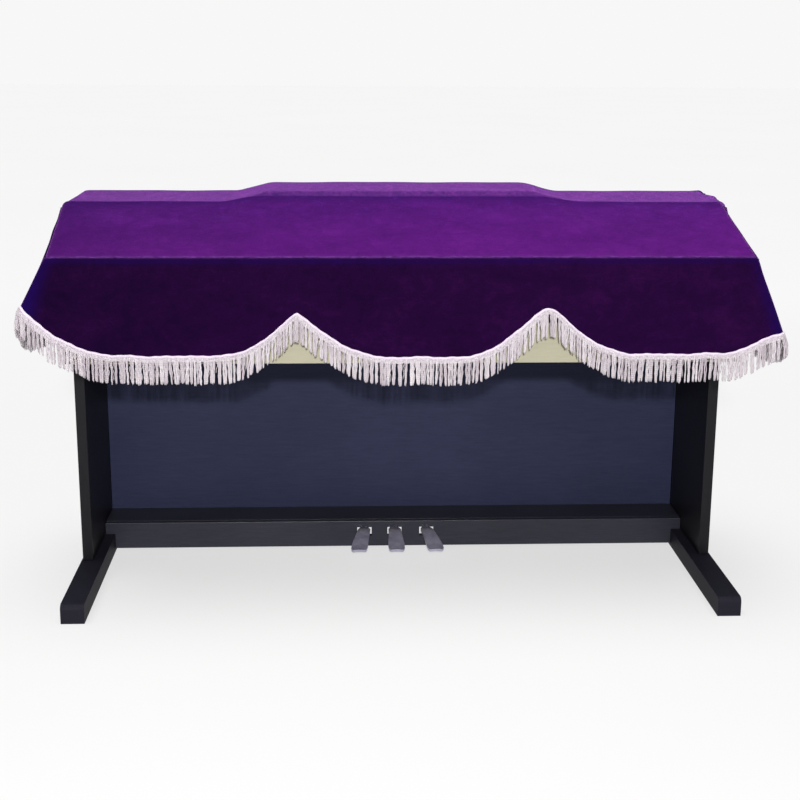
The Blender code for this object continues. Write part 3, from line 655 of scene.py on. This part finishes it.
# --------------------------------------------------------------- materials ----
class Nodes:
    """Short names for building a material."""

    def __init__(self, name):
        self.mat = bpy.data.materials.new(name)
        self.mat.use_nodes = True
        self.tree = self.mat.node_tree
        self.shader = self.tree.nodes["Principled BSDF"]

    def node(self, kind, **settings):
        n = self.tree.nodes.new(kind)
        for key, value in settings.items():
            setattr(n, key, value)
        return n

    def link(self, a, b):
        self.tree.links.new(a, b)

    def coords(self, which="Object", scale=(1, 1, 1)):
        tex = self.node("ShaderNodeTexCoord")
        mapping = self.node("ShaderNodeMapping")
        mapping.inputs["Scale"].default_value = scale
        self.link(tex.outputs[which], mapping.inputs["Vector"])
        return mapping.outputs["Vector"]

    def noise(self, vector, scale, detail=3.0, rough=0.55, distortion=0.0):
        n = self.node("ShaderNodeTexNoise")
        n.inputs["Scale"].default_value = scale
        n.inputs["Detail"].default_value = detail
        n.inputs["Roughness"].default_value = rough
        n.inputs["Distortion"].default_value = distortion
        self.link(vector, n.inputs["Vector"])
        return n.outputs["Fac"]

    def ramp(self, fac, stops):
        n = self.node("ShaderNodeValToRGB")
        while len(n.color_ramp.elements) < len(stops):
            n.color_ramp.elements.new(0.5)
        for element, (pos, colour) in zip(n.color_ramp.elements, stops):
            element.position = pos
            element.color = (*colour, 1.0) if len(colour) == 3 else colour
        self.link(fac, n.inputs["Fac"])
        return n.outputs["Color"]

    def math(self, op, a, b=None, c=None, clamp=False):
        n = self.node("ShaderNodeMath", operation=op, use_clamp=clamp)
        for socket, value in zip(n.inputs, (a, b, c)):
            if value is None:
                continue
            if isinstance(value, (int, float)):
                socket.default_value = value
            else:
                self.link(value, socket)
        return n.outputs["Value"]

    def mix(self, fac, a, b, blend="MIX"):
        n = self.node("ShaderNodeMix", data_type="RGBA", blend_type=blend)
        for socket, value in ((n.inputs[0], fac), (n.inputs[6], a), (n.inputs[7], b)):
            if isinstance(value, (int, float)):
                socket.default_value = value
            elif isinstance(value, tuple):
                socket.default_value = (*value, 1.0)
            else:
                self.link(value, socket)
        return n.outputs[2]

    def bump(self, height, distance, strength=1.0, normal=None):
        n = self.node("ShaderNodeBump")
        n.inputs["Distance"].default_value = distance
        n.inputs["Strength"].default_value = strength
        self.link(height, n.inputs["Height"])
        if normal is not None:
            self.link(normal, n.inputs["Normal"])
        return n.outputs["Normal"]

    def attribute(self, name):
        return self.node("ShaderNodeAttribute", attribute_name=name).outputs["Fac"]

    def put(self, **values):
        names = {"color": "Base Color", "rough": "Roughness", "metal": "Metallic", "normal": "Normal",
                 "sheen": "Sheen Weight", "sheen_rough": "Sheen Roughness", "sheen_tint": "Sheen Tint",
                 "coat": "Coat Weight", "coat_rough": "Coat Roughness", "specular": "Specular IOR Level", "aniso": "Anisotropic"}
        for key, value in values.items():
            socket = self.shader.inputs[names[key]]
            if isinstance(value, (int, float)):
                socket.default_value = value
            elif isinstance(value, tuple):
                socket.default_value = (*value, 1.0)
            else:
                self.link(value, socket)
        return self.mat


def velvet(name):
    m = Nodes(name)
    obj = m.coords()
    cloud = m.noise(m.coords(scale=(1.0, 2.2, 2.2)), 7.0, 4.0, 0.62, 0.5)
    patch = m.noise(obj, 30.0, 4.0, 0.68, 1.1)
    brush = m.noise(m.coords(scale=(1.0, 5.0, 5.0)), 60.0, 4.0, 0.65, 0.8)
    speck = m.noise(obj, 300.0, 2.0, 0.6)
    fac = m.math("MULTIPLY_ADD", cloud, 0.34, m.math("MULTIPLY", patch, 0.30))
    fac = m.math("ADD", fac, m.math("MULTIPLY", brush, 0.20))
    fac = m.math("ADD", fac, m.math("MULTIPLY", speck, 0.16))
    # painted light: down is the dark, shaded colour of the front and back drops; low and high are lighter, lit colours
    # along the slope
    down = m.ramp(fac, [(0.38, (0.0075, 0.0008, 0.0175)), (0.52, (0.0125, 0.0012, 0.0240)), (0.64, (0.0210, 0.0020, 0.0340))])
    low = m.ramp(fac, [(0.38, (0.064, 0.0056, 0.119)), (0.52, (0.086, 0.0076, 0.150)), (0.64, (0.114, 0.0100, 0.182))])
    high = m.ramp(fac, [(0.38, (0.046, 0.0050, 0.105)), (0.52, (0.066, 0.0070, 0.137)), (0.64, (0.093, 0.0108, 0.182))])
    up = m.mix(m.attribute("rise"), low, high)
    crest = m.math("MULTIPLY_ADD", m.attribute("rise"), 7.0, -6.0, clamp=True)
    crest = m.math("MULTIPLY", crest, m.math("MULTIPLY_ADD", patch, 2.2, -0.55, clamp=True), clamp=True)
    up = m.mix(crest, up, (0.026, 0.0050, 0.092))
    # painted sheen: brighter blue patches on the upper slope
    painted_sheen = m.noise(m.coords(scale=(1.0, 1.4, 1.4)), 34.0, 5.0, 0.75, 1.6)
    painted_sheen = m.math("MULTIPLY_ADD", painted_sheen, 6.0, -3.30, clamp=True)
    upper = m.math("MULTIPLY_ADD", m.attribute("rise"), 2.6, -1.25, clamp=True)
    up = m.mix(m.math("MULTIPLY", m.math("MULTIPLY", painted_sheen, upper), 0.75), up, (0.078, 0.0155, 0.235))
    # painted light: a lighter, lit colour for the top band, with flecks
    fleck = m.noise(m.coords(scale=(1.0, 0.32, 1.0)), 72.0, 4.0, 0.72, 1.0)
    topfac = m.math("MULTIPLY_ADD", fleck, 0.55, m.math("MULTIPLY", fac, 0.45))
    top = m.ramp(topfac, [(0.36, (0.038, 0.0110, 0.120)), (0.50, (0.086, 0.0180, 0.172)), (0.64, (0.155, 0.0300, 0.245))])
    color = m.mix(m.attribute("nap"), down, up)
    color = m.mix(m.attribute("top"), color, top)
    # the velvet's colour is made darker towards its left end
    across = m.node("ShaderNodeSeparateXYZ")
    m.link(obj, across.inputs[0])
    left_darken = m.math("MULTIPLY_ADD", across.outputs[0], 0.50, 0.50, clamp=True)
    left_darken = m.math("ADD", left_darken, m.math("MULTIPLY", patch, 0.10))
    color = m.mix(1.0, color, m.ramp(left_darken, [(0.20, (0.66, 0.72, 0.72)), (0.40, (0.84, 0.87, 0.87)), (0.60, (0.93, 0.93, 0.93)), (0.90, (1.0, 1.0, 1.0))]), "MULTIPLY")
    # painted sheen: a dark blue over the front drop's rolled sides, and a share of it over the end pieces
    side = m.math("MULTIPLY", m.attribute("side"), m.math("MULTIPLY_ADD", patch, 0.9, 0.35), clamp=True)
    side = m.math("MULTIPLY", side, m.math("SUBTRACT", 1.0, m.math("MULTIPLY", m.attribute("nap"), 0.75)))
    color = m.mix(side, color, (0.0075, 0.0012, 0.052))
    color = m.mix(m.math("MULTIPLY", m.attribute("under"), m.math("MULTIPLY_ADD", patch, 1.2, 0.05, clamp=True), clamp=True), color, (0.0085, 0.0012, 0.045))
    # painted sheen: a dark blue band along the rounding at the back edge
    color = m.mix(m.math("MULTIPLY", m.attribute("rim"), 0.95), color, (0.0060, 0.0060, 0.110))
    # a lighter line along the front crease: partly wear, partly painted sheen
    wear_and_sheen = m.math("MULTIPLY", m.attribute("crease"), m.math("MULTIPLY_ADD", brush, 2.4, -0.55, clamp=True), clamp=True)
    color = m.mix(wear_and_sheen, color, (0.110, 0.030, 0.190))
    pile = m.noise(obj, 1500.0, 2.0, 0.7)
    nap_bump = m.noise(m.coords(scale=(1.0, 3.0, 3.0)), 170.0, 3.0, 0.6, 0.6)
    n1 = m.bump(pile, 0.0006, 0.50)
    n2 = m.bump(nap_bump, 0.0010, 0.40, n1)
    n3 = m.bump(patch, 0.0035, 0.30, n2)
    rough = m.math("MULTIPLY_ADD", patch, 0.18, 0.76)
    return m.put(color=color, rough=rough, normal=n3, sheen=0.24, sheen_rough=0.33,
                 sheen_tint=(0.60, 0.18, 0.84), specular=0.02)


mat_velvet = velvet("velvet")
for obj, slot in ((cover_main, "velvet"), (cover_ends[-1], "velvet_end"), (cover_ends[1], "velvet_end")):
    obj.data.materials.append(mat_velvet)


def cord_white():
    m = Nodes("fringe_cord")
    tone = m.attribute("tone")
    obj = m.coords()
    patch = m.noise(obj, 26.0, 3.0, 0.6)
    tint = m.math("MULTIPLY_ADD", tone, 0.45, m.math("MULTIPLY", patch, 0.55))
    color = m.ramp(tint, [(0.20, (0.46, 0.395, 0.435)), (0.50, (0.62, 0.57, 0.60)), (0.80, (0.78, 0.745, 0.77))])
    uv = m.coords("UV", (2.0, 330.0, 1.0))
    wave = m.node("ShaderNodeTexWave", wave_type="BANDS", bands_direction="DIAGONAL", wave_profile="SIN")
    wave.inputs["Scale"].default_value = 0.5
    wave.inputs["Distortion"].default_value = 0.6
    m.link(uv, wave.inputs["Vector"])
    twist = wave.outputs["Fac"]
    # painted shade in the grooves of the twist
    color = m.mix(m.math("MULTIPLY", m.math("SUBTRACT", 1.0, twist), 0.28), color, (0.20, 0.165, 0.19))
    fibre = m.noise(obj, 1800.0, 2.0, 0.6)
    n1 = m.bump(twist, 0.0010, 0.8)
    n2 = m.bump(fibre, 0.0003, 0.5, n1)
    return m.put(color=color, rough=0.78, normal=n2, sheen=0.12, sheen_rough=0.5, sheen_tint=(1.0, 0.92, 0.98), specular=0.12)


def braid_white():
    m = Nodes("fringe_braid")
    uv = m.coords("UV")
    wave = m.node("ShaderNodeTexWave", wave_type="BANDS", bands_direction="DIAGONAL", wave_profile="SIN")
    wave.inputs["Scale"].default_value = 190.0
    wave.inputs["Distortion"].default_value = 1.2
    wave.inputs["Detail"].default_value = 2.0
    wave.inputs["Detail Scale"].default_value = 60.0
    m.link(uv, wave.inputs["Vector"])
    obj = m.coords()
    patch = m.noise(obj, 60.0, 3.0, 0.6)
    cord = m.ramp(patch, [(0.3, (0.70, 0.595, 0.72)), (0.7, (0.80, 0.70, 0.82))])
    knots = m.noise(m.coords("UV", (1.0, 0.7, 1.0)), 620.0, 3.0, 0.7, 0.8)
    band = m.ramp(knots, [(0.36, (0.27, 0.235, 0.255)), (0.50, (0.52, 0.475, 0.505)), (0.62, (0.70, 0.65, 0.69))])
    place = m.node("ShaderNodeSeparateXYZ")
    m.link(uv, place.inputs[0])
    low = m.math("MULTIPLY_ADD", place.outputs[1], 700.0, -4.0, clamp=True)
    color = m.mix(low, cord, band)
    # painted shade in the grooves of the weave
    color = m.mix(m.math("MULTIPLY", m.math("SUBTRACT", 1.0, wave.outputs["Fac"]), 0.22), color, (0.22, 0.18, 0.21))
    n1 = m.bump(wave.outputs["Fac"], 0.0006, 0.7)
    n2 = m.bump(m.noise(obj, 1600.0, 2.0, 0.6), 0.0003, 0.5, n1)
    return m.put(color=color, rough=0.75, normal=n2, sheen=0.12, sheen_rough=0.5, sheen_tint=(1.0, 0.92, 0.98), specular=0.12)


cord_mat, braid_mat = cord_white(), braid_white()
for obj in fringe_parts:
    obj.data.materials.append(cord_mat)
for obj in heads:
    obj.data.materials.append(braid_mat)


def board(name, dark, light, rough, grain_scale=(1.0, 14.0, 14.0), coat=0.05, grain=0.00012, axis_noise=22.0, specular=0.16):
    m = Nodes(name)
    g = m.coords(scale=grain_scale)
    fine = m.noise(g, axis_noise, 6.0, 0.7, 0.6)
    broad = m.noise(m.coords(), 3.0, 3.0, 0.5)
    dust = m.noise(m.coords(), 420.0, 2.0, 0.7)
    fac = m.math("ADD", m.math("MULTIPLY", fine, 0.55), m.math("MULTIPLY", broad, 0.45))
    color = m.ramp(fac, [(0.35, dark), (0.68, light)])
    r = m.math("MULTIPLY_ADD", fine, 0.16, m.math("MULTIPLY_ADD", dust, 0.10, rough - 0.13))
    n1 = m.bump(fine, grain, 0.6)
    n2 = m.bump(dust, 0.00004, 0.4, n1)
    return m.put(color=color, rough=r, normal=n2, coat=coat, coat_rough=0.35, specular=specular)


cabinet = board("cabinet", (0.0140, 0.0142, 0.0210), (0.0270, 0.0275, 0.040), 0.40)
# painted shade: a much darker copy of the cabinet's colour for the side panels, which the frontal light only grazes
cabinet_up = board("cabinet_upright_shaded", (0.0030, 0.0030, 0.0042), (0.0068, 0.0068, 0.0092), 0.44, (14.0, 14.0, 1.0))
cabinet_deep = board("cabinet_deep", (0.0085, 0.0083, 0.0125), (0.0170, 0.0166, 0.026), 0.56, (14.0, 1.0, 14.0), coat=0.0, specular=0.05)
navy = board("navy_panel", (0.0165, 0.0195, 0.044), (0.0260, 0.0295, 0.064), 0.50, (1.0, 14.0, 10.0), coat=0.0, specular=0.08)
pale = board("pale_board", (0.33, 0.315, 0.225), (0.40, 0.38, 0.285), 0.60, coat=0.0, grain=0.0002)


def metal(name, color_a, color_b, rough, stretch, metallic=1.0):
    m = Nodes(name)
    fine = m.noise(m.coords(scale=stretch), 90.0, 4.0, 0.65)
    wear = m.noise(m.coords(), 45.0, 4.0, 0.6)
    color = m.ramp(wear, [(0.35, color_a), (0.65, color_b)])
    r = m.math("MULTIPLY_ADD", wear, 0.18, m.math("MULTIPLY_ADD", fine, 0.10, rough - 0.12))
    n = m.bump(fine, 0.00006, 0.5)
    return m.put(color=color, rough=r, metal=metallic, normal=n, specular=0.4)


pedal_metal = metal("pedal_metal", (0.31, 0.30, 0.39), (0.46, 0.44, 0.54), 0.34, (12.0, 1.0, 12.0), 0.55)
zinc = metal("hardware_metal", (0.34, 0.34, 0.35), (0.46, 0.46, 0.47), 0.38, (1.0, 1.0, 1.0))


def give(node, mat):
    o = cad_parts[node]
    if o.data.materials:
        for n in range(len(o.data.materials)):
            o.data.materials[n] = mat
    else:
        o.data.materials.append(mat)


for node in ("case", "music_rest", "rail_front", "rail_top"):
    give(node, cabinet)
for node in ("side_left", "side_right"):
    give(node, cabinet_up)
for node in ("foot_left", "foot_right"):
    give(node, cabinet_deep)
give("back_panel", navy)
give("key_bed", pale)
for node in ("pedal_left", "pedal_middle", "pedal_right"):
    give(node, pedal_metal)
for node in ("pedal_rod", "hanger_left", "hanger_right"):
    give(node, zinc)

# -------------------------------------------------------------- declarations ----
for obj in (cover_main, *cover_ends.values(), *heads, *fringe_parts):
    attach(obj, "root")
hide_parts("cover_main")
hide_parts("cover_end_left")
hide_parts("cover_end_right")
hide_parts("cover_fringe")

# ------------------------------------------------------------- floor, light ----
def stage_floor():
    bpy.ops.mesh.primitive_plane_add(size=60.0, location=(0, 8, 0))
    floor = bpy.context.object
    floor.name = "floor"
    m = Nodes("floor_paper")
    n = m.noise(m.coords(), 0.6, 2.0, 0.5)
    color = m.ramp(n, [(0.3, (0.285, 0.285, 0.285)), (0.7, (0.295, 0.295, 0.295))])
    m.put(color=color, rough=0.9, specular=0.0)
    # the table is lit from below as well, as for a catalogue, so that shadows on it stay faint
    m.shader.inputs["Emission Color"].default_value = (1.0, 1.0, 1.0, 1.0)
    where = m.node("ShaderNodeSeparateXYZ")
    m.link(m.coords(), where.inputs[0])
    glow = m.math("MINIMUM", m.math("MULTIPLY_ADD", where.outputs[1], 0.022, 0.755), 0.655)
    m.link(glow, m.shader.inputs["Emission Strength"])
    floor.data.materials.append(m.mat)


stage_floor()
scene = bpy.context.scene
world = bpy.data.worlds.new("studio")
scene.world = world
world.use_nodes = True
wt = world.node_tree
for n in list(wt.nodes):
    wt.nodes.remove(n)
out = wt.nodes.new("ShaderNodeOutputWorld")
soft = wt.nodes.new("ShaderNodeBackground")
soft.inputs["Color"].default_value = (0.93, 0.95, 1.0, 1.0)
soft.inputs["Strength"].default_value = 0.18
seen = wt.nodes.new("ShaderNodeBackground")
seen.inputs["Color"].default_value = (0.93, 0.93, 0.93, 1.0)
seen.inputs["Strength"].default_value = 1.0
ray = wt.nodes.new("ShaderNodeLightPath")
blend = wt.nodes.new("ShaderNodeMixShader")
wt.links.new(ray.outputs["Is Camera Ray"], blend.inputs[0])
wt.links.new(soft.outputs[0], blend.inputs[1])
wt.links.new(seen.outputs[0], blend.inputs[2])
wt.links.new(blend.outputs[0], out.inputs["Surface"])


def sun(name, strength, angle, direction, color=(1, 1, 1)):
    data = bpy.data.lights.new(name, "SUN")
    data.energy, data.angle, data.color = strength, math.radians(angle), color
    obj = bpy.data.objects.new(name, data)
    obj.rotation_euler = Vector(direction).to_track_quat("-Z", "Y").to_euler()
    scene.collection.objects.link(obj)
    return obj


def area(name, power, size, location, target, color=(1, 1, 1)):
    data = bpy.data.lights.new(name, "AREA")
    data.shape, data.size, data.size_y = "RECTANGLE", size[0], size[1]
    data.energy, data.color = power, color
    obj = bpy.data.objects.new(name, data)
    obj.location = location
    obj.rotation_euler = (Vector(target) - Vector(location)).to_track_quat("-Z", "Y").to_euler()
    scene.collection.objects.link(obj)
    return obj


sun("overhead", 2.35, 50, (0.06, 0.10, -1.0), (1.0, 0.99, 0.98))
area("front_key", 188.0, (0.15, 0.15), (-0.16, -4.3, 1.78), (0.0, 0.0, 0.45), (1.0, 0.98, 0.99))

# ------------------------------------------------------------------ camera ----
YAW, PITCH, ROLL_CAM, FOCAL = 0.0469, 0.2447, -0.0061, 1421.8
fwd = np.array([math.sin(YAW) * math.cos(PITCH), math.cos(YAW) * math.cos(PITCH), -math.sin(PITCH)])
right = np.array([math.cos(YAW), -math.sin(YAW), 0.0])
down = np.cross(fwd, right)
r2 = math.cos(ROLL_CAM) * right + math.sin(ROLL_CAM) * down
d2 = -math.sin(ROLL_CAM) * right + math.cos(ROLL_CAM) * down
cam_data = bpy.data.cameras.new("camera")
cam_data.sensor_fit = "HORIZONTAL"
cam_data.sensor_width = 36.0
cam_data.lens = FOCAL * 36.0 / 800.0
cam_data.clip_end = 200.0
cam = bpy.data.objects.new("camera", cam_data)
where = np.array([-0.1364, -2.6653, 1.1228]) + SHIFT
cam.matrix_world = Matrix(
    (
        (r2[0], -d2[0], -fwd[0], where[0]),
        (r2[1], -d2[1], -fwd[1], where[1]),
        (r2[2], -d2[2], -fwd[2], where[2]),
        (0, 0, 0, 1),
    )
)
scene.collection.objects.link(cam)
scene.camera = cam
scene.view_settings.view_transform = "Standard"
scene.view_settings.look = "None"
